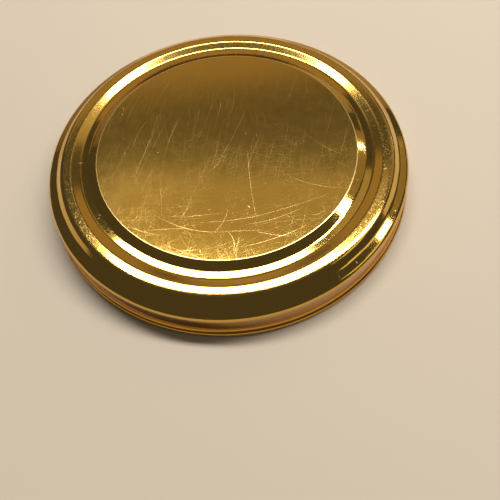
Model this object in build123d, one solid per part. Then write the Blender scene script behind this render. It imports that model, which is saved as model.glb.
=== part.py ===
"""A twist-off jar lid in gold-lacquered tinplate, with its sealing ring.

The lid stands on its rolled edge with the panel up. The origin is on the axis, at the plane
that the rolled edge rests on. Every section is drawn in the XZ plane, with X as the radius
and Z as the level, and turned about Z. Sizes are in millimetres and angles in radians.
"""

import os
from math import acos, atan2, cos, degrees, hypot, pi, sin, sqrt

from build123d import *

# The whole lid
outside_diameter = 85.6
height = 10.0
sheet_thickness = 0.2

# The bands of the top, from the outer shoulder edge inwards to the flat panel: how wide each
# is seen from above, and how far it climbs on its way inwards
ledge_width = 2.4
ledge_climb = 0.9
shoulder_width = 1.3
shoulder_climb = 1.45
bead_fall_width = 0.7
bead_fall_climb = 0.17
bead_top_width = 1.8
bead_top_climb = 0.08
slope_width = 1.98
slope_climb = -0.83
groove_width = 1.82
groove_climb = 0.07
cone_width = 1.95
cone_climb = 0.79

# How round the press leaves each corner, on the face seen from above
panel_edge_radius = 0.6
cone_foot_radius = 2.0
groove_edge_radius = 1.5
bead_inner_radius = 1.5
bead_crown_radius = 3.0
bead_outer_radius = 1.2
shoulder_foot_radius = 1.5
shoulder_edge_radius = 1.3

# The edge is rolled inwards into a curl that stands a little proud of the skirt, and the raw
# edge of the sheet stops just short of the inside of the skirt
curl_diameter = 1.7
curl_step = 0.75
curl_neck_radius = 1.2
curl_seam = 0.22

# Short lengths of the curl are pressed flat and inwards as lugs, to grip the jar's thread
lug_count = 6
lug_length = 8.4
lug_end_length = 2.6
lug_reach = 1.5
lug_tip_thickness = 0.9
lug_tip_lift = 0.12
lug_root_inset = 0.04

# The sealing compound fills the channel under the bead and runs down the shoulder. The rim
# of the jar has left a shallow mark in it
seal_depth = 0.62
seal_wall = 0.3
seal_drop = 0.95
seal_mark_width = 1.5
seal_mark_depth = 0.12
seal_rounding = 0.15

# The curl and the skirt, both measured in from the outside diameter
curl_radius = curl_diameter / 2
curl_bore_radius = curl_radius - sheet_thickness
curl_centre = (outside_diameter / 2 - curl_radius, curl_radius)
curl_inner_edge = outside_diameter / 2 - curl_diameter
skirt_radius = outside_diameter / 2 - curl_step

# The neck between them is a hollow round that touches the skirt and the curl
neck_distance = curl_radius + curl_neck_radius
neck_offset = skirt_radius + curl_neck_radius - curl_centre[0]
neck_rise = sqrt(neck_distance**2 - neck_offset**2)
neck_centre = (curl_centre[0] + neck_offset, curl_centre[1] + neck_rise)
neck_angle = atan2(neck_rise, neck_offset)

# Where the round of the curl would meet the inside of the neck, less the seam
inside_neck_radius = curl_neck_radius + sheet_thickness
squares = neck_distance**2 + curl_radius**2 - inside_neck_radius**2
meeting_angle = acos(squares / (2 * neck_distance * curl_radius))
curl_end_angle = neck_angle + meeting_angle + curl_seam / curl_radius - 2 * pi


def corners_of_top():
    """The corners of the pressed top at its upper face, from the panel's edge outwards."""
    bands = [
        (ledge_width, ledge_climb),
        (shoulder_width, shoulder_climb),
        (bead_fall_width, bead_fall_climb),
        (bead_top_width, bead_top_climb),
        (slope_width, slope_climb),
        (groove_width, groove_climb),
        (cone_width, cone_climb),
    ]
    radius = skirt_radius
    level = height - sum(climb for width, climb in bands)
    corners = [(radius, level)]
    for width, climb in bands:
        radius -= width
        level += climb
        corners.append((radius, level))
    return corners[::-1]


def beside(points, distance):
    """The corners of the line that runs at a distance to the right of another line."""
    legs = list(zip(points, points[1:]))
    normals = []
    for start, end in legs:
        run = hypot(end[0] - start[0], end[1] - start[1])
        normals.append(((end[1] - start[1]) / run, (start[0] - end[0]) / run))
    corners = []
    for (x, z), before, after in zip(points, normals[:1] + normals, normals + normals[-1:]):
        stretch = distance / (1 + before[0] * after[0] + before[1] * after[1])
        corners.append((x + (before[0] + after[0]) * stretch, z + (before[1] + after[1]) * stretch))
    return corners


def at_level(start, end, level):
    """The point at a level on the straight line through two points."""
    share = (level - start[1]) / (end[1] - start[1])
    return (start[0] + share * (end[0] - start[0]), level)


def on_circle(centre, radius, angle):
    return (centre[0] + radius * cos(angle), centre[1] + radius * sin(angle))


def circle_arc(centre, radius, start, end):
    """The arc of a circle that sweeps from one angle to another."""
    return ThreePointArc(*[on_circle(centre, radius, angle) for angle in (start, (start + end) / 2, end)])


def top_corners(depth):
    """The top and the skirt at a depth under their outer face, from the axis to the neck."""
    outer_face = [(0, height)] + corners_of_top() + [(skirt_radius, neck_centre[1])]
    return beside(outer_face, depth)


def top_line(depth):
    """The same line with its corners rounded: a bend keeps its centre through the sheet."""
    radii = [
        panel_edge_radius - depth,
        cone_foot_radius + depth,
        groove_edge_radius + depth,
        bead_inner_radius - depth,
        bead_crown_radius - depth,
        bead_outer_radius - depth,
        shoulder_foot_radius + depth,
        shoulder_edge_radius - depth,
    ]
    return FilletPolyline(*top_corners(depth), radius=radii)


def sheet_section():
    """The pressed sheet cut through the axis: top, skirt, neck and curl."""
    outer_face = [
        top_line(0),
        circle_arc(neck_centre, curl_neck_radius, pi, pi + neck_angle),
        circle_arc(curl_centre, curl_radius, neck_angle, curl_end_angle),
    ]
    inner_face = [
        top_line(sheet_thickness),
        circle_arc(neck_centre, inside_neck_radius, pi, pi + neck_angle),
        circle_arc(curl_centre, curl_bore_radius, neck_angle, curl_end_angle),
    ]
    axis_edge = Line((0, height), (0, height - sheet_thickness))
    raw_edge = Line(
        on_circle(curl_centre, curl_radius, curl_end_angle),
        on_circle(curl_centre, curl_bore_radius, curl_end_angle),
    )
    return make_face(Plane.XZ * (Curve() + outer_face + inner_face + [axis_edge, raw_edge]))


def fold_section(root_radius, tip_centre, tip_radius):
    """A fold cut across: two straight flanks that run from inside the curl to a round tip."""
    run = (tip_centre[0] - curl_centre[0], tip_centre[1] - curl_centre[1])
    heading = atan2(run[1], run[0])
    spread = acos((root_radius - tip_radius) / hypot(*run))
    upper_root = on_circle(curl_centre, root_radius, heading - spread)
    lower_root = on_circle(curl_centre, root_radius, heading + spread)
    upper_tip = on_circle(tip_centre, tip_radius, heading - spread)
    lower_tip = on_circle(tip_centre, tip_radius, heading + spread)
    outline = [
        Line(upper_root, upper_tip),
        ThreePointArc(upper_tip, on_circle(tip_centre, tip_radius, heading), lower_tip),
        Line(lower_tip, lower_root),
        Line(lower_root, upper_root),
    ]
    return make_face(Plane.XZ * (Curve() + outline))


def lug_fold(inset):
    """The space that one lug takes up on +X, with its faces brought in by an inset."""
    tip_radius = lug_tip_thickness / 2
    tip_centre = (curl_inner_edge - lug_reach + tip_radius, curl_centre[1] + lug_tip_lift)
    pressed = fold_section(curl_radius - lug_root_inset - inset, tip_centre, tip_radius - inset)
    # At its ends the fold has sunk back inside the wall of the curl
    sunk_radius = (curl_radius - sheet_thickness / 2 - inset) / 2
    sunk = fold_section(sunk_radius, (curl_centre[0] - sunk_radius, curl_centre[1]), sunk_radius)
    pressed_angle = degrees(lug_length / curl_inner_edge)
    end_angle = degrees(lug_end_length / curl_inner_edge)
    fold = Part() + revolve(Rot(0, 0, -pressed_angle / 2) * pressed, Axis.Z, pressed_angle)
    for side in (-1, 1):
        near = Rot(0, 0, side * pressed_angle / 2) * pressed
        far = Rot(0, 0, side * (pressed_angle / 2 + end_angle)) * sunk
        fold += loft([near, far], ruled=True)
    return fold


def lid_shell():
    """The sheet with a tongue put on the curl at each lug, and each tongue then hollowed."""
    between_lugs = Rot(0, 0, 180 / lug_count)
    shell = revolve(between_lugs * sheet_section(), Axis.Z)
    inside_the_wall = Plane.XZ * Pos(*curl_centre) * Circle(curl_radius - sheet_thickness / 2)
    tongue = lug_fold(0) - revolve(between_lugs * inside_the_wall, Axis.Z)
    hollow = lug_fold(sheet_thickness)
    places = [Rot(0, 0, index * 360 / lug_count) for index in range(lug_count)]
    return shell + [place * tongue for place in places] - [place * hollow for place in places]


def sealing_ring():
    """Compound that flowed into the channel and set against the underside of the sheet."""
    underside = top_corners(sheet_thickness)
    groove_edge, bead_inner, bead_crown, bead_outer, shoulder_foot = underside[3:8]
    floor_level = bead_inner[1] - seal_depth
    inner_edge = at_level(groove_edge, bead_inner, floor_level)
    foot = at_level(bead_outer, shoulder_foot, bead_outer[1] - seal_drop)
    wall_line = beside([bead_outer, shoulder_foot], seal_wall)
    floor_end = at_level(*wall_line, floor_level)
    wall_foot = at_level(*wall_line, foot[1])
    mark_outer = floor_end[0] - seal_wall
    mark_inner = mark_outer - seal_mark_width
    mark_level = floor_level + seal_mark_depth
    free_face = FilletPolyline(
        (inner_edge[0] - sheet_thickness, floor_level),
        (mark_inner - seal_mark_depth, floor_level),
        (mark_inner, mark_level),
        (mark_outer, mark_level),
        floor_end,
        wall_foot,
        (foot[0] + sheet_thickness, foot[1]),
        radius=[seal_rounding] * 5,
    )
    # Drawn past the sheet on both sides, and then cut back to its underside
    start, end = free_face @ 0, free_face @ 1
    over_the_sheet = Polyline(start, (start.X, height), (end.X, height), end)
    filled = make_face(Plane.XZ * (Curve() + [free_face, over_the_sheet]))
    beyond_the_sheet = Polyline(
        underside[-1],
        (outside_diameter, underside[-1][1]),
        (outside_diameter, 2 * height),
        (0, 2 * height),
        underside[0],
    )
    sheet_and_above = make_face(Plane.XZ * (Curve() + [top_line(sheet_thickness), beyond_the_sheet]))
    return revolve(filled - sheet_and_above, Axis.Z)


os.makedirs("parts", exist_ok=True)
export_step(lid_shell(), "parts/lid_shell.step")
export_step(sealing_ring(), "parts/sealing_ring.step")
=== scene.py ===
# %% [markdown]
# # A gold-lacquered twist-off jar lid
# The lid is one round of tinplate, a steel sheet 0.2 mm thick. A press draws it into a flat panel
# with rings of slopes and beads round it, and its edge is rolled inwards. This script dresses the
# imported model of the lid. First comes the model itself: its box in space gives the lid's width
# and height. Everything here is in metres, unless a name or a comment says millimetres.

# %% Load the imported lid
from math import acos, atan2, ceil, cos, pi, radians, sin, tan

import bpy
from mathutils import Matrix, Vector


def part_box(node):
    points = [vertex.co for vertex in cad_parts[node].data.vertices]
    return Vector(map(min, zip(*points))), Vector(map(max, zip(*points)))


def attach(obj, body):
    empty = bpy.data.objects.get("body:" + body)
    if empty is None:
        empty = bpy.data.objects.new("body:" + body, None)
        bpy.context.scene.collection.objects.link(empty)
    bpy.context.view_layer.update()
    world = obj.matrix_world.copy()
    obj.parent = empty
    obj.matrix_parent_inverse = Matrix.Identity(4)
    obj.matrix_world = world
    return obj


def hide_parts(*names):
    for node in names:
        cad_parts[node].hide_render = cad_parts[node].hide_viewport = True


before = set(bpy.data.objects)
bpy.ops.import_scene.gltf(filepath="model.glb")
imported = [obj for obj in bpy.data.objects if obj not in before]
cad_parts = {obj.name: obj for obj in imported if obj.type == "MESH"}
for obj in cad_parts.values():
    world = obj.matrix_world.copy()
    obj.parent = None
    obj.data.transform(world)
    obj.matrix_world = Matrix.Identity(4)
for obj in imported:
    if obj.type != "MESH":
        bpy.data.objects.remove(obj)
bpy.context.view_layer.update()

MM = 0.001
lowest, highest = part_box("lid_shell")
outside_radius = highest.x / MM
height = highest.z / MM
print(f"The lid is {2 * outside_radius:.1f} mm across and {height:.1f} mm high")

# %% [markdown]
# ## The section of the sheet
# The whole lid follows from one drawing: the sheet cut through its axis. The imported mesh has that
# form too, but its facets are made for weighing and colliding, and a mirror-like lacquer would
# show each of them as a flat. So the section is drawn again here, with close steps round every
# bend, and turned about the axis in the next steps. X is the radius and Y is the level, both in
# millimetres. The bands are listed from the outer shoulder edge inwards, as the press lays them.

# %% Bands and bends of the pressed top, in millimetres
sheet_thickness = 0.2
curl_step = 0.75
bands = {
    "ledge": (2.4, 0.9),
    "shoulder": (1.3, 1.45),
    "bead fall": (0.7, 0.17),
    "bead top": (1.8, 0.08),
    "slope": (1.98, -0.83),
    "groove": (1.82, 0.07),
    "cone": (1.95, 0.79),
}
bends = [
    ("panel edge", 0.6, "down"),
    ("cone foot", 2.0, "up"),
    ("groove edge", 1.5, "up"),
    ("bead inner", 1.5, "down"),
    ("bead crown", 3.0, "down"),
    ("bead outer", 1.2, "down"),
    ("shoulder foot", 1.5, "up"),
    ("shoulder edge", 1.3, "down"),
]
skirt_radius = outside_radius - curl_step


def corners_of_top():
    """The corners of the top at its outer face, from the panel's edge to the shoulder's edge."""
    corner = Vector((skirt_radius, height - sum(climb for width, climb in bands.values())))
    corners = [corner]
    for width, climb in bands.values():
        corner = corner + Vector((-width, climb))
        corners.append(corner)
    return corners[::-1]


print("Corners of the top:", [f"{x:.2f}, {y:.2f}" for x, y in corners_of_top()])

# %% [markdown]
# A bend in sheet metal keeps one centre for both faces: where the outer face turns with a radius
# of 0.5 mm, the inner face of a 0.2 mm sheet turns with 0.3 mm. Each bend is drawn as short steps
# of a few degrees. One more point is held just beside each end of a bend, so that the smooth
# shading of the bend doesn't spread over the straight stretch next to it.

# %% Lines with rounded corners
bend_step = radians(5)
held_beside = 0.03


def beside(points, distance):
    """The corners of the line that runs at a distance to the right of another line."""
    legs = [(end - start).normalized() for start, end in zip(points, points[1:])]
    normals = [Vector((leg.y, -leg.x)) for leg in legs]
    moved = []
    for point, before, after in zip(points, normals[:1] + normals, normals + normals[-1:]):
        moved.append(point + (before + after) * distance / (1 + before.dot(after)))
    return moved


def rounded(corners, radii, held=held_beside):
    """The points of a line whose inner corners are rounded."""
    points = [corners[0]]
    for before, corner, after, radius in zip(corners, corners[1:], corners[2:], radii):
        back = (before - corner).normalized()
        on = (after - corner).normalized()
        turn = pi - back.angle(on)
        start = corner + back * radius * tan(turn / 2)
        centre = corner + (back + on).normalized() * radius / cos(turn / 2)
        side = 1 if back.x * on.y - back.y * on.x < 0 else -1
        steps = max(2, ceil(turn / bend_step))
        arc = [
            centre + Matrix.Rotation(side * turn * step / steps, 2) @ (start - centre)
            for step in range(steps + 1)
        ]
        points += [arc[0] + back * held, *arc, arc[-1] + on * held]
    return points + [corners[-1]]


# %% [markdown]
# Under the skirt the sheet runs through a hollow neck into the curl, which rolls inwards until
# its raw edge stops just short of the inside of the skirt. Six short lengths of the curl are
# pressed flat towards the axis. These lugs hook under the thread of the jar. A lug's section is
# two straight flanks from the curl to a small round tip. The same number of points is used for
# the plain curl and for the lug, so that one can slide into the other along the edge.

# %% The neck, the curl and the lugs
curl_diameter = 1.7
curl_neck_radius = 1.2
lug_reach = 1.5
lug_tip_thickness = 0.9
lug_tip_lift = 0.12
curl_radius = curl_diameter / 2
curl_centre = Vector((outside_radius - curl_radius, curl_radius))
curl_inner_edge = outside_radius - curl_diameter
neck_offset = skirt_radius + curl_neck_radius - curl_centre.x
neck_rise = ((curl_radius + curl_neck_radius) ** 2 - neck_offset**2) ** 0.5
neck_centre = curl_centre + Vector((neck_offset, neck_rise))
neck_angle = atan2(neck_rise, neck_offset)
lug_tip_radius = lug_tip_thickness / 2
lug_tip_centre = Vector((curl_inner_edge - lug_reach + lug_tip_radius, curl_radius + lug_tip_lift))


def on_circle(centre, radius, angle):
    return centre + Vector((cos(angle), sin(angle))) * radius


def arc_points(centre, radius, start, end, steps):
    angles = [start + (end - start) * step / steps for step in range(steps + 1)]
    return [on_circle(centre, radius, angle) for angle in angles]


def lug_points(root_radius, tip_radius, flank_steps, tip_steps):
    """The curl's inner side, plain and pressed: two lists of points that belong together."""
    run = lug_tip_centre - curl_centre
    heading = atan2(run.y, run.x)
    spread = acos((root_radius - tip_radius) / run.length)
    low, high = heading + spread, heading - spread
    tip = arc_points(lug_tip_centre, tip_radius, low, high, tip_steps)
    shares = [step / flank_steps for step in range(flank_steps)]
    lower_root, upper_root = [on_circle(curl_centre, root_radius, angle) for angle in (low, high)]
    pressed = [lower_root.lerp(tip[0], share) for share in shares]
    pressed += tip
    pressed += [upper_root.lerp(tip[-1], share) for share in shares[::-1]]
    lengths = [0.0]
    for start, end in zip(pressed, pressed[1:]):
        lengths.append(lengths[-1] + (end - start).length)
    plain = [
        on_circle(curl_centre, root_radius, low + (high - low) * length / lengths[-1])
        for length in lengths
    ]
    return plain, pressed, low


# %% [markdown]
# The two faces of the sheet are now put together into one line: out along the top, down the
# skirt, round the outside of the curl to the raw edge, and back along the inside to the axis.
# Two lists of points are kept, with the curl plain and with a lug pressed into it, and a third
# list marks the points of the inside.

# %% One line round the whole section
panel_rings = 10
curl_steps = 22
neck_steps = 8
flank_steps = 6
tip_steps = 10


def corners_at(depth):
    """The corners of the top and the skirt at a depth under the outer face."""
    outer_face = [Vector((0, height)), *corners_of_top(), Vector((skirt_radius, neck_centre.y))]
    return beside(outer_face, depth)


def top_at(depth):
    """The points of the top and the skirt, with their bends, at a depth under the outer face."""
    radii = [radius - depth if way == "down" else radius + depth for name, radius, way in bends]
    return rounded(corners_at(depth), radii)


def face_of_sheet(depth):
    """One face of the sheet, from the axis to the raw edge, plain and with a lug pressed."""
    top = top_at(depth)
    panel = [top[0].lerp(top[1], ring / panel_rings) for ring in range(panel_rings)]
    neck = arc_points(neck_centre, curl_neck_radius + depth, pi, pi + neck_angle, neck_steps)
    plain_lug, pressed_lug, low = lug_points(
        curl_radius - depth, lug_tip_radius - depth, flank_steps, tip_steps
    )
    outside_of_curl = arc_points(
        curl_centre, curl_radius - depth, neck_angle, low - 2 * pi, curl_steps
    )
    shared = panel + top[1:-1] + neck + outside_of_curl[1:-1]
    return shared + plain_lug, shared + pressed_lug


outer_plain, outer_pressed = face_of_sheet(0)
inner_plain, inner_pressed = face_of_sheet(sheet_thickness)
section_plain = outer_plain + inner_plain[::-1]
section_pressed = outer_pressed + inner_pressed[::-1]
inside = [0.0] * len(outer_plain) + [1.0] * len(inner_plain)
print(f"The section has {len(section_plain)} points")

# %% [markdown]
# The sealing ring isn't seen from above, but a real lid has it: compound is flowed into the
# channel under the bead while it is soft, the lid is spun, and it sets against the sheet. Its
# upper side is therefore drawn with the sheet's own points. Its lower side is a level floor with
# a shallow mark where the rim of the jar has pressed, and a thin wall down the shoulder.

# %% The section of the sealing ring
seal_depth = 0.62
seal_wall = 0.3
seal_drop = 0.95
seal_mark_width = 1.5
seal_mark_depth = 0.12
seal_rounding = 0.15


def at_level(start, end, level):
    """The point at a level on the straight line through two points."""
    return start.lerp(end, (level - start.y) / (end.y - start.y))


def seal_section():
    """The closed outline of the compound, from its inner edge out along the free face."""
    groove_edge, bead_inner, bead_crown, bead_outer, shoulder_foot = corners_at(sheet_thickness)[3:8]
    floor_level = bead_inner.y - seal_depth
    inner_edge = at_level(groove_edge, bead_inner, floor_level)
    foot = at_level(bead_outer, shoulder_foot, bead_outer.y - seal_drop)
    wall_line = beside([bead_outer, shoulder_foot], seal_wall)
    floor_end = at_level(*wall_line, floor_level)
    wall_foot = at_level(*wall_line, foot.y)
    mark_outer = floor_end.x - seal_wall
    mark_inner = mark_outer - seal_mark_width
    mark_level = floor_level + seal_mark_depth
    free_face = [
        inner_edge,
        Vector((mark_inner - seal_mark_depth, floor_level)),
        Vector((mark_inner, mark_level)),
        Vector((mark_outer, mark_level)),
        floor_end,
        wall_foot,
        foot,
    ]
    against_sheet = [point for point in top_at(sheet_thickness) if inner_edge.x < point.x < foot.x]
    outline = rounded(free_face, [seal_rounding] * 5, held=0.01) + against_sheet[::-1]
    return outline + outline[:1]


seal_outline = seal_section()
print(f"The sealing ring's outline has {len(seal_outline)} points")

# %% [markdown]
# ## Turning a section about the axis
# A lathe or a press makes a round thing by turning a section, and Geometry Nodes can do the same.
# A spin in mesh code would work too, but here the rule stays visible: a grid has one row for each
# point of the section and one column for each step round the axis, and each grid point is sent to
# its place. Sizes come in through named inputs, so that one tree makes both the sheet and the
# sealing ring. Its sums are written as Python expressions: a small class wraps a node's socket,
# and adds a Math node for each sum.

# %% Sums and nodes
class Value:
    """What comes out of a node. A sum on it adds a Math node to the same tree."""

    def __init__(self, nodes, socket):
        self.nodes = nodes
        self.socket = socket

    def __getitem__(self, name):
        """Another output of the same node."""
        return Value(self.nodes, self.socket.node.outputs[name])

    def __add__(self, other):
        return self.nodes.math("ADD", self, other)

    def __sub__(self, other):
        return self.nodes.math("SUBTRACT", self, other)

    def __rsub__(self, other):
        return self.nodes.math("SUBTRACT", other, self)

    def __mul__(self, other):
        return self.nodes.math("MULTIPLY", self, other)

    def __truediv__(self, other):
        return self.nodes.math("DIVIDE", self, other)

    def __mod__(self, other):
        return self.nodes.math("FLOORED_MODULO", self, other)

    def __gt__(self, other):
        return self.nodes.math("GREATER_THAN", self, other)

    def __abs__(self):
        return self.nodes.math("ABSOLUTE", self)

    __radd__ = __add__
    __rmul__ = __mul__

    def whole(self):
        return self.nodes.math("FLOOR", self)


class Nodes:
    """A node tree in the making, for a shape or for a finish."""

    def __init__(self, tree):
        self.tree = tree

    def node(self, kind, settings=(), sockets=()):
        """Adds a node, makes its settings, and then fills or links its sockets."""
        made = self.tree.nodes.new(kind)
        for name, setting in dict(settings).items():
            setattr(made, name, setting)
        for name, value in dict(sockets).items():
            entry = self.entry(made, name)
            if isinstance(value, Value):
                self.tree.links.new(value.socket, entry)
            else:
                entry.default_value = value
        first = next((socket for socket in made.outputs if socket.enabled), None)
        return Value(self, first) if first else made

    def entry(self, made, name):
        """A node's input, by its place or by the name that it shows."""
        if isinstance(name, int):
            return made.inputs[name]
        return next(socket for socket in made.inputs if socket.name == name and socket.enabled)

    def math(self, operation, *values):
        return self.node("ShaderNodeMath", {"operation": operation}, enumerate(values))

    def vector_math(self, operation, *values):
        return self.node("ShaderNodeVectorMath", {"operation": operation}, enumerate(values))

    def smooth_range(self, value, start, end):
        """Rises softly from 0 to 1 while a value goes from start to end."""
        return self.node(
            "ShaderNodeMapRange",
            {"interpolation_type": "SMOOTHSTEP"},
            {"Value": value, "From Min": start, "From Max": end},
        )


# %% [markdown]
# The tree turns whatever line of points it is given. Round the axis, the distance to the middle
# of the nearest lug says how far the curl is pressed in: fully along the lug, not at all between
# two lugs, and softly in between.

# %% The tree that turns a section
merged_within = 0.001
sharp_angle = radians(50)


def add_input(tree, name, kind, value=None):
    """Adds a named input to a tree, and gives the identifier by which a modifier sets it."""
    socket = tree.interface.new_socket(name, in_out="INPUT", socket_type=kind)
    if value is not None:
        socket.default_value = value
    return socket.identifier


def turning_tree():
    """A tree that turns the object's line of points about Z, and presses lugs into it."""
    tree = bpy.data.node_groups.new("turned_section", "GeometryNodeTree")
    names = {
        "Section": add_input(tree, "Section", "NodeSocketGeometry"),
        "Steps Round": add_input(tree, "Steps Round", "NodeSocketInt", 96),
        "Lug Count": add_input(tree, "Lug Count", "NodeSocketInt", 6),
        "Lug Length": add_input(tree, "Lug Length", "NodeSocketFloat", 0.01),
        "Lug End Length": add_input(tree, "Lug End Length", "NodeSocketFloat", 0.003),
        "Lug Radius": add_input(tree, "Lug Radius", "NodeSocketFloat", 0.04),
        "Outside Finish": add_input(tree, "Outside Finish", "NodeSocketMaterial"),
        "Inside Finish": add_input(tree, "Inside Finish", "NodeSocketMaterial"),
    }
    tree.interface.new_socket("Turned", in_out="OUTPUT", socket_type="NodeSocketGeometry")
    nodes = Nodes(tree)
    given = nodes.node("NodeGroupInput")
    columns = given["Steps Round"] + 1
    rows = nodes.node("GeometryNodeAttributeDomainSize", (), {"Geometry": given["Section"]})
    grid = nodes.node("GeometryNodeMeshGrid", (), {"Vertices X": rows, "Vertices Y": columns})
    index = nodes.node("GeometryNodeInputIndex")
    row = (index / columns).whole()

    def of_the_row(data_type, name):
        """What a point of the section holds, for the grid points of its row."""
        if name == "position":
            held = nodes.node("GeometryNodeInputPosition")
        else:
            held = nodes.node(
                "GeometryNodeInputNamedAttribute", {"data_type": data_type}, {"Name": name}
            )
        return nodes.node(
            "GeometryNodeSampleIndex",
            {"data_type": data_type},
            {"Geometry": given["Section"], "Value": held, "Index": row},
        )

    turn = (index % columns) / given["Steps Round"]
    off_lug = abs((turn * given["Lug Count"] + 0.5) % 1.0 - 0.5) / given["Lug Count"]
    off_lug = off_lug * (2 * pi) * given["Lug Radius"] - given["Lug Length"] / 2
    pressed = 1 - nodes.smooth_range(off_lug, 0.0, given["Lug End Length"])
    shift = nodes.node(
        "ShaderNodeVectorMath",
        {"operation": "SCALE"},
        {0: of_the_row("FLOAT_VECTOR", "lug_shift"), "Scale": pressed},
    )
    in_section = nodes.vector_math("ADD", of_the_row("FLOAT_VECTOR", "position"), shift)
    placed = nodes.node(
        "ShaderNodeVectorRotate",
        {"rotation_type": "Z_AXIS"},
        {"Vector": in_section, "Angle": turn * (2 * pi)},
    )
    body = nodes.node("GeometryNodeSetPosition", (), {"Geometry": grid, "Position": placed})
    body = nodes.node(
        "GeometryNodeStoreNamedAttribute",
        {"data_type": "FLOAT"},
        {"Geometry": body, "Name": "inside", "Value": of_the_row("FLOAT", "inside")},
    )
    # The first and the last column lie on each other, and so do all points on the axis
    body = nodes.node(
        "GeometryNodeMergeByDistance", (), {"Geometry": body, "Distance": merged_within * MM}
    )
    sharp = nodes.node("GeometryNodeInputMeshEdgeAngle") > sharp_angle
    body = nodes.node(
        "GeometryNodeSetShadeSmooth",
        {"domain": "EDGE"},
        {"Geometry": body, "Selection": sharp, "Shade Smooth": False},
    )
    body = nodes.node("GeometryNodeRealizeInstances", (), {"Geometry": body})
    side = nodes.node("GeometryNodeInputNamedAttribute", {"data_type": "FLOAT"}, {"Name": "inside"})
    body = nodes.node(
        "GeometryNodeSetMaterial", (), {"Geometry": body, "Material": given["Outside Finish"]}
    )
    body = nodes.node(
        "GeometryNodeSetMaterial",
        (),
        {"Geometry": body, "Selection": side > 0.5, "Material": given["Inside Finish"]},
    )
    nodes.node("NodeGroupOutput", (), {0: body})
    return tree, names


turned_section, turned_section_inputs = turning_tree()
print(f"The turning tree has {len(turned_section.nodes)} nodes")

# %% [markdown]
# A section goes in as a mesh of points and edges that carries the lug shift and the inside mark
# as attributes. What comes out is made a plain mesh, and its outward side is checked by its
# volume, which is below zero where a closed mesh is inside out.

# %% Turn a section into a mesh
def section_object(name, plain, pressed, inside):
    """A line of points in the XZ plane, from lists in millimetres."""
    mesh = bpy.data.meshes.new(name)
    places = [(point.x * MM, 0, point.y * MM) for point in plain]
    mesh.from_pydata(places, [(at, at + 1) for at in range(len(places) - 1)], [])
    shift = mesh.attributes.new("lug_shift", "FLOAT_VECTOR", "POINT")
    for item, start, end in zip(shift.data, plain, pressed):
        item.vector = ((end.x - start.x) * MM, 0, (end.y - start.y) * MM)
    mark = mesh.attributes.new("inside", "FLOAT", "POINT")
    mark.data.foreach_set("value", inside)
    section = bpy.data.objects.new(name, mesh)
    bpy.context.scene.collection.objects.link(section)
    return section


def volume_of(mesh):
    """The volume that a closed mesh holds, in cubic millimetres."""
    mesh.calc_loop_triangles()
    total = 0.0
    for triangle in mesh.loop_triangles:
        a, b, c = [mesh.vertices[corner].co for corner in triangle.vertices]
        total += a.dot(b.cross(c)) / 6
    return total / MM**3


def turned(name, section, **inputs):
    """The closed mesh that a section makes when it is turned about the axis."""
    modifier = section.modifiers.new("turn", "NODES")
    modifier.node_group = turned_section
    for title, value in inputs.items():
        modifier[turned_section_inputs[title.replace("_", " ").title()]] = value
    bpy.context.view_layer.update()
    evaluated = section.evaluated_get(bpy.context.evaluated_depsgraph_get())
    mesh = bpy.data.meshes.new_from_object(evaluated)
    section.modifiers.remove(modifier)
    mesh.name = name
    if volume_of(mesh) < 0:
        mesh.flip_normals()
    section.data = mesh
    section.name = name
    triangles = sum(len(face.vertices) - 2 for face in mesh.polygons)
    print(f"{name}: {triangles} triangles, {volume_of(mesh):.0f} cubic millimetres")
    return section


# %% [markdown]
# ## Scratches
# A lid that has been used is covered in fine scratches, and a bright metal shows each of them,
# because the broken lacquer scatters light that the smooth lacquer only mirrors. The scratches
# are drawn by rules instead of by a picture, so they stay sharp at any size. Two groups of nodes
# do it. The first draws one scratch that is given by its two ends and by how far it bows. It
# tapers at both ends, like a scratch that a hard grain leaves.

# %% A group that draws one scratch
def shader_group(name, inputs):
    """A group of shader nodes with named inputs and one output, and its values inside."""
    tree = bpy.data.node_groups.new(name, "ShaderNodeTree")
    for title, kind in inputs.items():
        tree.interface.new_socket(title, in_out="INPUT", socket_type=kind)
    tree.interface.new_socket("Mark", in_out="OUTPUT", socket_type="NodeSocketFloat")
    nodes = Nodes(tree)
    return tree, nodes, nodes.node("NodeGroupInput")


def stroke(nodes, distance, half_width, filled):
    """How strongly a stroke marks a point that lies at a distance from its middle line."""
    core = half_width * filled
    mark = 1 - nodes.smooth_range(distance, core * 0.4, core + 0.001)
    return mark * (filled > 0.0)


scratch_inputs = {
    "Place": "NodeSocketVector",
    "Start": "NodeSocketVector",
    "End": "NodeSocketVector",
    "Bow": "NodeSocketFloat",
    "Half Width": "NodeSocketFloat",
}
scratch_group, nodes, given = shader_group("scratch", scratch_inputs)
run = nodes.vector_math("SUBTRACT", given["End"], given["Start"])
along = nodes.vector_math("NORMALIZE", run)
across = nodes.vector_math("CROSS_PRODUCT", (0, 0, 1), along)
away = nodes.vector_math("SUBTRACT", given["Place"], given["Start"])
distance_along = nodes.vector_math("DOT_PRODUCT", away, along)["Value"]
share = distance_along / nodes.vector_math("LENGTH", run)["Value"]
filled = share * (1 - share) * 4
off_line = abs(nodes.vector_math("DOT_PRODUCT", away, across)["Value"] - given["Bow"] * filled)
nodes.node("NodeGroupOutput", (), {0: stroke(nodes, off_line, given["Half Width"], filled)})
print(f"The scratch group has {len(scratch_group.nodes)} nodes")

# %% [markdown]
# The second group draws a whole field of hairlines. It lays a slanted grid over the metal and
# throws dice in each cell: whether there is a hairline, how far it lies off the middle of its
# cell, and how it slants. Neighbouring rows are shifted, so that the grid doesn't show.

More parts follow.
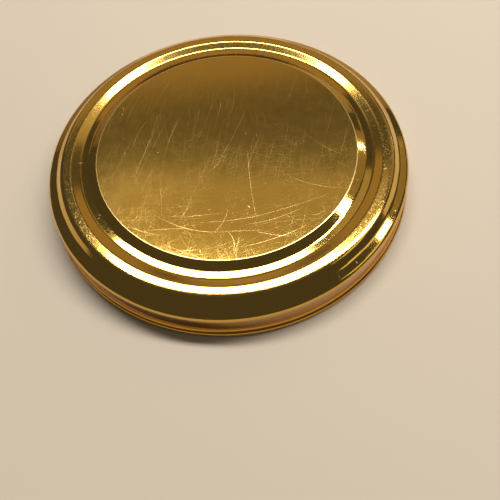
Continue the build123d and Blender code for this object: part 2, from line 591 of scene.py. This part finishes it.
# %% A group that draws a field of hairlines
hairline_inputs = {
    "Place": "NodeSocketVector",
    "Direction": "NodeSocketFloat",
    "Length": "NodeSocketFloat",
    "Spacing": "NodeSocketFloat",
    "Half Width": "NodeSocketFloat",
    "Share": "NodeSocketFloat",
    "Seed": "NodeSocketFloat",
}
hairlines_group, nodes, given = shader_group("hairlines", hairline_inputs)
turned_place = nodes.node(
    "ShaderNodeVectorRotate",
    {"rotation_type": "Z_AXIS"},
    {"Vector": given["Place"], "Angle": 0 - given["Direction"]},
)
grid_place = nodes.node("ShaderNodeSeparateXYZ", (), {"Vector": turned_place})
rows = grid_place["Y"] / given["Spacing"]
row = rows.whole()
row_name = row + given["Seed"]
shifted = nodes.node("ShaderNodeTexWhiteNoise", {"noise_dimensions": "1D"}, {"W": row_name})
cells = grid_place["X"] / given["Length"] + shifted * 17
cell = cells.whole()
cell_name = nodes.node("ShaderNodeCombineXYZ", (), {"X": row, "Y": cell, "Z": given["Seed"]})
thrown = nodes.node("ShaderNodeTexWhiteNoise", {"noise_dimensions": "3D"}, {"Vector": cell_name})
dice = nodes.node("ShaderNodeSeparateColor", (), {"Color": thrown["Color"]})
share = cells - cell
middle = (dice["Red"] - 0.5) * 0.45 + (dice["Green"] - 0.5) * (share - 0.5)
off_line = abs(rows - row - 0.5 - middle) * given["Spacing"]
present = 1 - (dice["Blue"] > given["Share"])
mark = stroke(nodes, off_line, given["Half Width"], share * (1 - share) * 4) * present
nodes.node("NodeGroupOutput", (), {0: mark})
print(f"The hairlines group has {len(hairlines_group.nodes)} nodes")

# %% [markdown]
# ## The gold lacquer
# Tinplate is bright and nearly colourless. A clear lacquer with a yellow dye turns it gold: light
# passes the film on its way in and on its way out. So the finish is a metal with a gold base
# colour under a thin clear coat. Where the lacquer is scratched the surface is rough and paler.
# Patterns read the place on the object itself, in millimetres, so that they stay where they
# are on the metal.

# %% Helpers for finishes, and the place on the lid
def material(name):
    """An empty material and its nodes."""
    made = bpy.data.materials.new(name)
    made.use_nodes = True
    made.node_tree.nodes.clear()
    return made, Nodes(made.node_tree)


def surface(nodes, settings):
    """One Principled shader as the material's surface."""
    shader = nodes.node("ShaderNodeBsdfPrincipled", (), settings)
    nodes.node("ShaderNodeOutputMaterial", (), {"Surface": shader})


def noise(nodes, place, size, detail=2.0, roughness=0.5):
    """Smooth noise whose patches are about as large as a size in the place's units."""
    sockets = {"Vector": place, "Scale": 1 / size, "Detail": detail, "Roughness": roughness}
    return nodes.node("ShaderNodeTexNoise", {"noise_dimensions": "3D"}, sockets)


def mixed(nodes, share, first, second):
    """A colour between two colours."""
    sockets = {"Factor": share, "A": first, "B": second}
    return nodes.node("ShaderNodeMix", {"data_type": "RGBA"}, sockets)


gold_outside, nodes = material("gold_lacquer")
object_place = nodes.node("ShaderNodeTexCoord")["Object"]
to_millimetres = (1 / MM, 1 / MM, 1 / MM)
place = nodes.node("ShaderNodeMapping", (), {"Vector": object_place, "Scale": to_millimetres})
place_parts = nodes.node("ShaderNodeSeparateXYZ", (), {"Vector": place})
flat_place = nodes.vector_math("MULTIPLY", place, (1, 1, 0))
from_axis = nodes.vector_math("LENGTH", flat_place)["Value"]
on_panel = 1 - nodes.smooth_range(from_axis, 29.8, 30.1)
print("The finish", gold_outside.name, "reads its place in millimetres")

# %% [markdown]
# The panel is rubbed by what is stacked on it and by what it is dragged over. Long hairlines
# from rubbing run up the panel, and short ones cross it every way. The short ones are drawn
# denser and paler towards the front, as painted glint of the lamp. The place that some of them
# read is pushed about by soft noise, so that they bend a little. Each field is one use of the
# hairlines group.

# %% Hairlines on the panel
soft_noise = noise(nodes, flat_place, 22.0, 0.0)["Color"]
wander = nodes.vector_math("SUBTRACT", soft_noise, (0.5, 0.5, 0.5))
wandering = nodes.node(
    "ShaderNodeVectorMath",
    {"operation": "MULTIPLY_ADD"},
    {0: wander, 1: (9.0, 9.0, 0), 2: flat_place},
)


def hairlines(nodes, where, direction, length, spacing, half_width, share, seed):
    """A field of hairlines, with its direction in degrees and its sizes in millimetres."""
    sockets = {
        "Place": where,
        "Direction": radians(direction),
        "Length": length,
        "Spacing": spacing,
        "Half Width": half_width,
        "Share": share,
        "Seed": seed,
    }
    return nodes.node("ShaderNodeGroup", {"node_tree": hairlines_group}, sockets)


ragged = (noise(nodes, flat_place, 7.0) - 0.5) * 16 + abs(place_parts["X"]) * 0.15
# Painted glint: the front of the panel, where the short hairlines are drawn denser and paler because
# they catch the lamp there.
front_glint_area = nodes.smooth_range(place_parts["Y"] + ragged, -3.0, -17.0)
rubbed = hairlines(nodes, flat_place, 66, 24, 1.9, 0.06, 0.3, 1) * 0.16
rubbed += hairlines(nodes, flat_place, 74, 17, 1.3, 0.06, 0.3, 2) * 0.12
rubbed += hairlines(nodes, wandering, 84, 12, 0.9, 0.05, 0.4, 3) * 0.12
rubbed += hairlines(nodes, wandering, 52, 7, 0.9, 0.05, 0.3, 9) * 0.1
crossed = hairlines(nodes, wandering, 6, 17, 1.0, 0.06, 0.5, 4)
crossed += hairlines(nodes, wandering, 172, 13, 0.9, 0.06, 0.45, 5)
crossed += hairlines(nodes, wandering, 32, 9, 0.9, 0.05, 0.45, 6)
crossed += hairlines(nodes, wandering, 145, 9, 0.9, 0.05, 0.45, 7)
crossed += hairlines(nodes, wandering, 103, 7, 0.8, 0.05, 0.45, 8)
patchy = nodes.smooth_range(noise(nodes, flat_place, 9.0), 0.35, 0.6)
lower_half = nodes.smooth_range(place_parts["Y"], 9.0, -5.0)
# The crossed hairlines are real scratches; their extra weight towards the front is painted glint.
crossing_and_front_glint = front_glint_area * 0.06 + patchy * (lower_half * 0.08 + 0.02)
panel_wear_and_glint = rubbed * (patchy * 0.8 + 0.3) + crossed * crossing_and_front_glint
print("Nine fields of hairlines lie on the panel")

# %% [markdown]
# The longest scratches are drawn one by one, where the lid in the photograph has them: each line
# of the list holds both ends in millimetres from the middle, the bow and the half width. Nicks on
# the bands are short and broad, and are given by their angle and their distance from the axis.

# %% Scratches and nicks with a place of their own
long_scratches = [
    ((-10.0, 26.8), (-17.2, 13.3), 0.0, 0.054),
    ((-17.5, 11.4), (-21.5, 2.7), -0.7, 0.072),
    ((-15.0, 13.6), (-22.1, -7.7), 0.4, 0.048),
    ((-2.7, 28.8), (-8.6, 12.8), 0.0, 0.042),
    ((-8.6, 12.8), (-15.3, -6.9), -1.2, 0.048),
    ((4.2, 20.5), (2.3, 9.6), 0.4, 0.054),
    ((0.4, 15.3), (-0.9, 9.5), 0.2, 0.048),
    ((6.7, 12.1), (-3.8, -6.8), 0.5, 0.048),
    ((-0.7, 5.9), (-5.0, -8.0), 0.6, 0.042),
    ((0.0, -0.4), (-5.7, -7.3), 1.2, 0.042),
    ((4.9, -1.8), (4.4, -20.7), -0.35, 0.096),
    ((18.2, 1.4), (26.3, -7.2), -0.7, 0.048),
    ((12.7, -10.7), (25.2, -16.2), -1.0, 0.072),
    ((0.9, -20.7), (22.1, -16.6), -0.5, 0.066),
    ((0.8, -22.0), (15.5, -19.2), -0.9, 0.06),
    ((15.0, -24.0), (0.1, -27.3), 0.6, 0.078),
    ((3.1, -23.6), (11.7, -26.4), -0.4, 0.072),
    ((19.5, -20.6), (15.7, -21.8), 0.5, 0.06),
    ((-17.0, -16.6), (-0.5, -23.3), -1.7, 0.078),
    ((-4.2, -22.7), (5.1, -23.9), -0.1, 0.078),
    ((-23.3, -18.4), (-15.7, -22.1), -0.2, 0.06),
    ((-18.2, -20.2), (-10.4, -21.0), 0.0, 0.06),
    ((-11.7, -18.1), (-0.8, -18.5), 0.0, 0.06),
    ((-8.6, -19.9), (5.7, -20.2), -0.4, 0.066),
    ((-5.7, -23.5), (-1.3, -17.3), -0.8, 0.066),
    ((-2.5, -22.5), (-1.5, -28.5), 1.0, 0.066),
    ((0.5, -24.6), (-1.3, -28.8), 0.0, 0.054),
    ((-15.5, -6.8), (-15.5, -17.3), 0.0, 0.048),
    ((-25.3, -15.3), (-24.5, -12.8), 0.0, 0.06),
    ((-25.1, -14.8), (-23.3, -14.0), 0.0, 0.054),
    ((-13.5, -26.2), (-8.9, -26.6), 0.0, 0.054),
    ((-11.7, -18.2), (-9.0, -13.7), -0.4, 0.048),
    ((-24.1, 16.7), (-23.7, 14.9), 0.3, 0.15),
    ((-24.0, 14.6), (-24.0, 13.6), 0.1, 0.132),
    ((2.9, -17.3), (3.4, -18.1), 0.1, 0.192),
]
band_nicks = [
    (178, 33.9, 1.6, 100, 0.2),
    (188, 32.4, 0.7, 80, 0.2),
    (193, 33.2, 0.5, 20, 0.15),
    (206, 32.4, 0.8, 70, 0.2),
    (207, 33.0, 0.6, 120, 0.15),
    (231, 40.4, 0.9, 85, 0.18),
    (259, 31.2, 1.1, 60, 0.12),
    (268, 40.6, 0.9, 110, 0.15),
    (298, 40.7, 0.8, 80, 0.2),
    (305, 40.6, 0.6, 95, 0.22),
    (333, 31.0, 0.8, 110, 0.15),
    (337, 30.9, 0.9, 45, 0.15),
    (336, 32.8, 0.9, 80, 0.12),
    (341, 32.6, 0.8, 100, 0.12),
    (340, 36.3, 0.8, 120, 0.16),
    (347, 36.6, 0.5, 80, 0.16),
    (1, 34.9, 1.0, 75, 0.12),
    (4, 34.8, 1.1, 110, 0.1),
    (9, 34.9, 0.9, 65, 0.12),
    (71, 31.3, 0.8, 95, 0.14),
    (327, 40.8, 0.5, 90, 0.25),
    (0, 40.9, 0.6, 100, 0.18),
]


def ends_of_nick(angle, distance, length, heading):
    """The two ends of a nick whose heading is measured from the way round the lid."""
    middle = on_circle(Vector((0, 0)), distance, radians(angle))
    half = on_circle(Vector((0, 0)), length / 2, radians(angle + 90 + heading))
    return middle - half, middle + half


marks = list(long_scratches)
for angle, distance, length, heading, half_width in band_nicks:
    marks.append((*ends_of_nick(angle, distance, length, heading), 0.05, half_width))

own_wear = 0.0
for start, end, bow, half_width in marks:
    sockets = {
        "Place": flat_place,
        "Start": (*start, 0),
        "End": (*end, 0),
        "Bow": bow,
        "Half Width": half_width,
    }
    own_wear = own_wear + nodes.node("ShaderNodeGroup", {"node_tree": scratch_group}, sockets)
print(f"{len(marks)} scratches and nicks have a place of their own")

# %% [markdown]
# The bands are rubbed where hands and other jars touch them. Their hairlines run roughly across
# each band, so they are drawn over a flat map of the band: the way round the lid is one axis and
# the distance from the middle is the other. The top of the bead carries the most wear, which
# makes the edge of a highlight on it ragged. The edge of the panel gets a thin pale line, a
# painted highlight for the glint of its bend.

# %% Wear on the bands, and all wear and painted light together
bead_radius = 36
angle_round = nodes.math("ARCTAN2", place_parts["Y"], place_parts["X"])
unrolled = nodes.node("ShaderNodeCombineXYZ", (), {"X": angle_round * bead_radius, "Y": from_axis})
on_bands = 1 - on_panel
band_wear = hairlines(nodes, unrolled, 78, 1.6, 0.42, 0.04, 0.5, 11)
band_wear += hairlines(nodes, unrolled, 108, 1.1, 0.5, 0.04, 0.4, 12)
grain = noise(nodes, place, 0.35, 2.0, 0.6)


def between(rise_start, rise_end, fall_start, fall_end):
    """A soft ring round the axis, by the distances where it rises and where it falls."""
    rise = nodes.smooth_range(from_axis, rise_start, rise_end)
    return rise * (1 - nodes.smooth_range(from_axis, fall_start, fall_end))


on_bead = between(35.4, 35.9, 38.0, 38.6)
on_slope = between(33.2, 34.2, 37.6, 38.4)
# Painted highlight: a thin pale ring on the bend at the panel's edge, where the bend glints.
panel_edge_highlight = between(29.85, 30.05, 30.1, 30.25)
bead_grain = nodes.smooth_range(grain, 0.52, 0.68) * on_bead
speck_sockets = {"Vector": flat_place, "Scale": 1 / 2.6}
specks = nodes.node("ShaderNodeTexVoronoi", {"feature": "F1"}, speck_sockets)
speck_dice = nodes.node("ShaderNodeSeparateColor", (), {"Color": specks["Color"]})
speck_wear = (1 - nodes.smooth_range(specks["Distance"], 0.02, 0.07)) * (speck_dice["Red"] > 0.8)
wear_and_painted_light = panel_wear_and_glint * on_panel + band_wear * on_bands * 0.12 + bead_grain * 0.25
# The listed scratches are drawn paler at the front as well, as painted glint.
wear_and_painted_light = wear_and_painted_light + own_wear * (patchy * 0.15 + front_glint_area * 0.1 + 0.15)
wear_and_painted_light = wear_and_painted_light + speck_wear * 0.4 + panel_edge_highlight * 0.55
worn_and_painted_light = nodes.node("ShaderNodeClamp", (), {"Value": wear_and_painted_light, "Min": 0.0, "Max": 1.0})
# The rubbed edge named in this print is the painted highlight on the panel's edge.
print("Wear is gathered from hairlines, scratches, nicks, specks and the rubbed edge")

# %% [markdown]
# Where the lacquer is whole it is nearly a mirror, a little cloudier on the panel. On the skirt
# the gold is painted darker and deeper in tone, as painted shade for the shaded floor that the
# skirt mirrors. The relief is only a slight waviness of the sheet and a fine grain on the bead,
# because the scratches are shallower than the lacquer.

# %% The gold finish put together
# Painted shade: the skirt is given a darker, deeper gold than the top, standing in for the shaded
# floor that it mirrors.
skirt_painted_shade = 1 - nodes.smooth_range(place_parts["Z"], 6.0, 7.2)
lacquer = mixed(nodes, skirt_painted_shade, (0.70, 0.44, 0.095, 1), (0.62, 0.32, 0.05, 1))
cloudy = noise(nodes, flat_place, 2.5, 4.0, 0.6)
smooth_roughness = on_panel * ((1 - front_glint_area) * 0.07 + cloudy * 0.05) + on_slope * 0.06 + 0.06
waves = noise(nodes, flat_place, 14.0, 1.0)
wave_height = 0.008
grain_height = 0.0025
relief = waves * (wave_height * MM) + grain * (on_bead * 0.3 + 0.04) * (grain_height * MM)
bump = nodes.node("ShaderNodeBump", (), {"Height": relief, "Strength": 1.0, "Distance": 1.0})
surface(nodes, {
    "Base Color": mixed(nodes, worn_and_painted_light * 0.7, lacquer, (0.86, 0.71, 0.42, 1)),
    "Metallic": 1.0,
    "Roughness": smooth_roughness + worn_and_painted_light * 0.4,
    "Coat Weight": 0.1,
    "Coat Roughness": 0.05,
    "Normal": bump,
})
print(f"The gold finish has {len(gold_outside.node_tree.nodes)} nodes")

# %% [markdown]
# The underside has the same lacquer, but no hand has rubbed it: it is a little duller, because
# the inner lacquer is thicker, and almost free of scratches. The sealing compound is a soft
# plastic that has been flowed in and baked. It is pale, matt, and slightly uneven.

# %% The finishes inside
gold_inside, nodes = material("gold_lacquer_inside")
inside_place = nodes.node("ShaderNodeTexCoord")["Object"]
inside_waves = noise(nodes, inside_place, 9 * MM)
inside_bump = nodes.node("ShaderNodeBump", (), {
    "Height": inside_waves * (0.02 * MM),
    "Strength": 1.0,
    "Distance": 1.0,
})
surface(nodes, {
    "Base Color": mixed(nodes, inside_waves, (0.66, 0.45, 0.15, 1), (0.74, 0.52, 0.19, 1)),
    "Metallic": 1.0,
    "Roughness": inside_waves * 0.08 + 0.2,
    "Coat Weight": 0.2,
    "Coat Roughness": 0.15,
    "Normal": inside_bump,
})
compound, nodes = material("seal_compound")
compound_place = nodes.node("ShaderNodeTexCoord")["Object"]
flow = noise(nodes, compound_place, 3 * MM)
compound_bump = nodes.node("ShaderNodeBump", (), {
    "Height": flow * (0.03 * MM),
    "Strength": 1.0,
    "Distance": 1.0,
})
surface(nodes, {
    "Base Color": mixed(nodes, flow, (0.72, 0.69, 0.61, 1), (0.82, 0.79, 0.72, 1)),
    "Roughness": flow * 0.15 + 0.42,
    "Specular IOR Level": 0.4,
    "Subsurface Weight": 0.05,
    "Subsurface Radius": (0.5 * MM, 0.4 * MM, 0.3 * MM),
    "Normal": compound_bump,
})
print("Inside finishes:", gold_inside.name, compound.name)

# %% [markdown]
# ## The two pieces
# The sheet is turned with its lugs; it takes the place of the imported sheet. The steps round the
# axis are close enough for the mirror-like lacquer to show no facets.

# %% The lid shell
sheet_steps_round = 360
lug_length = 8.4
lug_end_length = 2.6
lid_shell = turned(
    "lid_shell_sheet",
    section_object("lid_shell_sheet", section_plain, section_pressed, inside),
    steps_round=sheet_steps_round,
    lug_count=6,
    lug_length=lug_length * MM,
    lug_end_length=lug_end_length * MM,
    lug_radius=curl_inner_edge * MM,
    outside_finish=gold_outside,
    inside_finish=gold_inside,
)
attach(lid_shell, "root")
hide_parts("lid_shell")

# %% [markdown]
# The ring of compound goes through the same tree. Its outline is closed and no lug touches it.

# %% The sealing ring
ring_steps_round = 240
sealing_ring = turned(
    "sealing_ring_compound",
    section_object(
        "sealing_ring_compound", seal_outline, seal_outline, [0.0] * len(seal_outline)
    ),
    steps_round=ring_steps_round,
    outside_finish=compound,
    inside_finish=compound,
)
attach(sealing_ring, "root")
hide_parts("sealing_ring")

# %% [markdown]
# ## Floor, backdrop and room light
# A mirror-like lid shows the room more than it shows itself, so the room is kept plain: a pale
# floor, a pale backdrop and a weak even light from all round.

# %% Floor and backdrop
def flat_sheet(name, corners, finish):
    """One flat face that only belongs to the stage."""
    mesh = bpy.data.meshes.new(name)
    mesh.from_pydata(corners, [], [(0, 1, 2, 3)])
    mesh.materials.append(finish)
    sheet = bpy.data.objects.new(name, mesh)
    bpy.context.scene.collection.objects.link(sheet)


floor_paint, nodes = material("pale_floor")
surface(nodes, {"Base Color": (0.64, 0.56, 0.46, 1), "Roughness": 0.8})
floor_reach = 2.0
floor_corners = [
    (-floor_reach, -floor_reach, 0),
    (floor_reach, -floor_reach, 0),
    (floor_reach, floor_reach, 0),
    (-floor_reach, floor_reach, 0),
]
flat_sheet("floor", floor_corners, floor_paint)
wall_paint, nodes = material("pale_wall")
surface(nodes, {"Base Color": (0.78, 0.66, 0.50, 1), "Roughness": 0.9})
wall_distance = 1.2
wall_reach = 1.4
wall_height = 0.45
wall_corners = [
    (-wall_reach, wall_distance, 0),
    (wall_reach, wall_distance, 0),
    (wall_reach, wall_distance, wall_height),
    (-wall_reach, wall_distance, wall_height),
]
flat_sheet("backdrop", wall_corners, wall_paint)

world = bpy.data.worlds.new("room")
bpy.context.scene.world = world
world.use_nodes = True
room_light = world.node_tree.nodes["Background"]
room_light.inputs["Color"].default_value = (1.0, 0.93, 0.78, 1)
room_light.inputs["Strength"].default_value = 0.085
print("The floor, the backdrop and the room light are in place")

# %% [markdown]
# ## Lamps
# Each band of the lid mirrors another part of the room, so a highlight on it tells where its lamp
# stands. One long strip over the far side makes the white rings in the groove and on the bead,
# the bright loop at the far side, and the patches on the cone and the ledge, where its end shows.
# A small lamp low at the right makes the spot at the right of the panel. Wide dim glows behind
# and at the right give the panel its tone, and the shoulder its thin streaks.

# %% Lamps
def softbox(name, place, rotation, width, depth, radiance, colour):
    """A rectangular lamp whose face shines with an even radiance."""
    data = bpy.data.lights.new(name, "AREA")
    data.shape = "RECTANGLE"
    data.size = width
    data.size_y = depth
    data.energy = radiance * pi * width * depth
    data.color = colour
    lamp = bpy.data.objects.new(name, data)
    lamp.location = place
    lamp.rotation_euler = rotation
    bpy.context.scene.collection.objects.link(lamp)


def facing_lid(name, azimuth, elevation, distance, width, depth, radiance, colour):
    """A softbox that faces the lid, where the lid sees it at an azimuth and an elevation."""
    away = Vector((cos(azimuth) * cos(elevation), sin(azimuth) * cos(elevation), sin(elevation)))
    rotation = away.to_track_quat("Z", "Y").to_euler()
    softbox(name, away * distance, rotation, width, depth, radiance, colour)


def strip_lamp(name, start, end, width, radiance):
    """A long level softbox over the lid, between two places on the ceiling."""
    run = end - start
    turn = (0, 0, atan2(run.y, run.x))
    softbox(name, (start + end) / 2, turn, run.length, width, radiance, (1.0, 0.96, 0.9))


ceiling = 0.9
strip_start = Vector((-0.345, 0.418, ceiling))
strip_end = Vector((1.0, 0.09, ceiling))
strip_lamp("long_strip", strip_start, strip_end, 0.165, 18)
facing_lid("small_lamp", radians(35.5), radians(27.5), 1.0, 0.03, 0.06, 45, (1.0, 0.95, 0.85))
facing_lid("low_glow", radians(88), radians(33), 1.1, 1.3, 0.36, 0.33, (1.0, 0.67, 0.27))
facing_lid("high_glow", radians(81), radians(58), 1.1, 0.8, 0.2, 0.39, (1.0, 0.8, 0.47))
facing_lid("right_glow", radians(32), radians(33), 1.1, 0.6, 0.45, 0.25, (1.0, 0.75, 0.35))
facing_lid("side_glow", radians(-13), radians(37), 1.1, 0.6, 0.4, 1.0, (1.0, 0.85, 0.5))
print("Lamps:", [light.name for light in bpy.data.lights])

# %% [markdown]
# ## The camera
# The photograph was taken from close by, so its perspective is strong: the camera looks down at
# nearly 49 degrees from a point only 12 cm away from the middle of the panel. Its place and its
# turns were found from the rings of the lid.

# %% Camera
camera_elevation = radians(48.94)
camera_distance = 122.6 * MM
camera_pan = radians(-1.14)
camera_tilt = radians(11.58)
camera_roll = radians(-7.46)
camera_data = bpy.data.cameras.new("camera")
camera_data.sensor_width = 36.0
camera_data.lens = 37.44
camera_data.clip_start = 0.005
camera = bpy.data.objects.new("camera", camera_data)
aim = Matrix.Rotation(pi / 2 - camera_elevation, 3, "X")
aim = aim @ Matrix.Rotation(camera_pan, 3, "Y")
aim = aim @ Matrix.Rotation(-camera_tilt, 3, "X")
aim = aim @ Matrix.Rotation(camera_roll, 3, "Z")
panel_centre = Vector((0, 0, height * MM))
stand_off = Vector((0, -cos(camera_elevation), sin(camera_elevation))) * camera_distance
camera.matrix_world = Matrix.Translation(panel_centre + stand_off) @ aim.to_4x4()
bpy.context.scene.collection.objects.link(camera)
bpy.context.scene.camera = camera
bpy.context.scene.view_settings.view_transform = "Standard"
print(f"The camera stands {camera_distance / MM:.0f} mm from the panel")
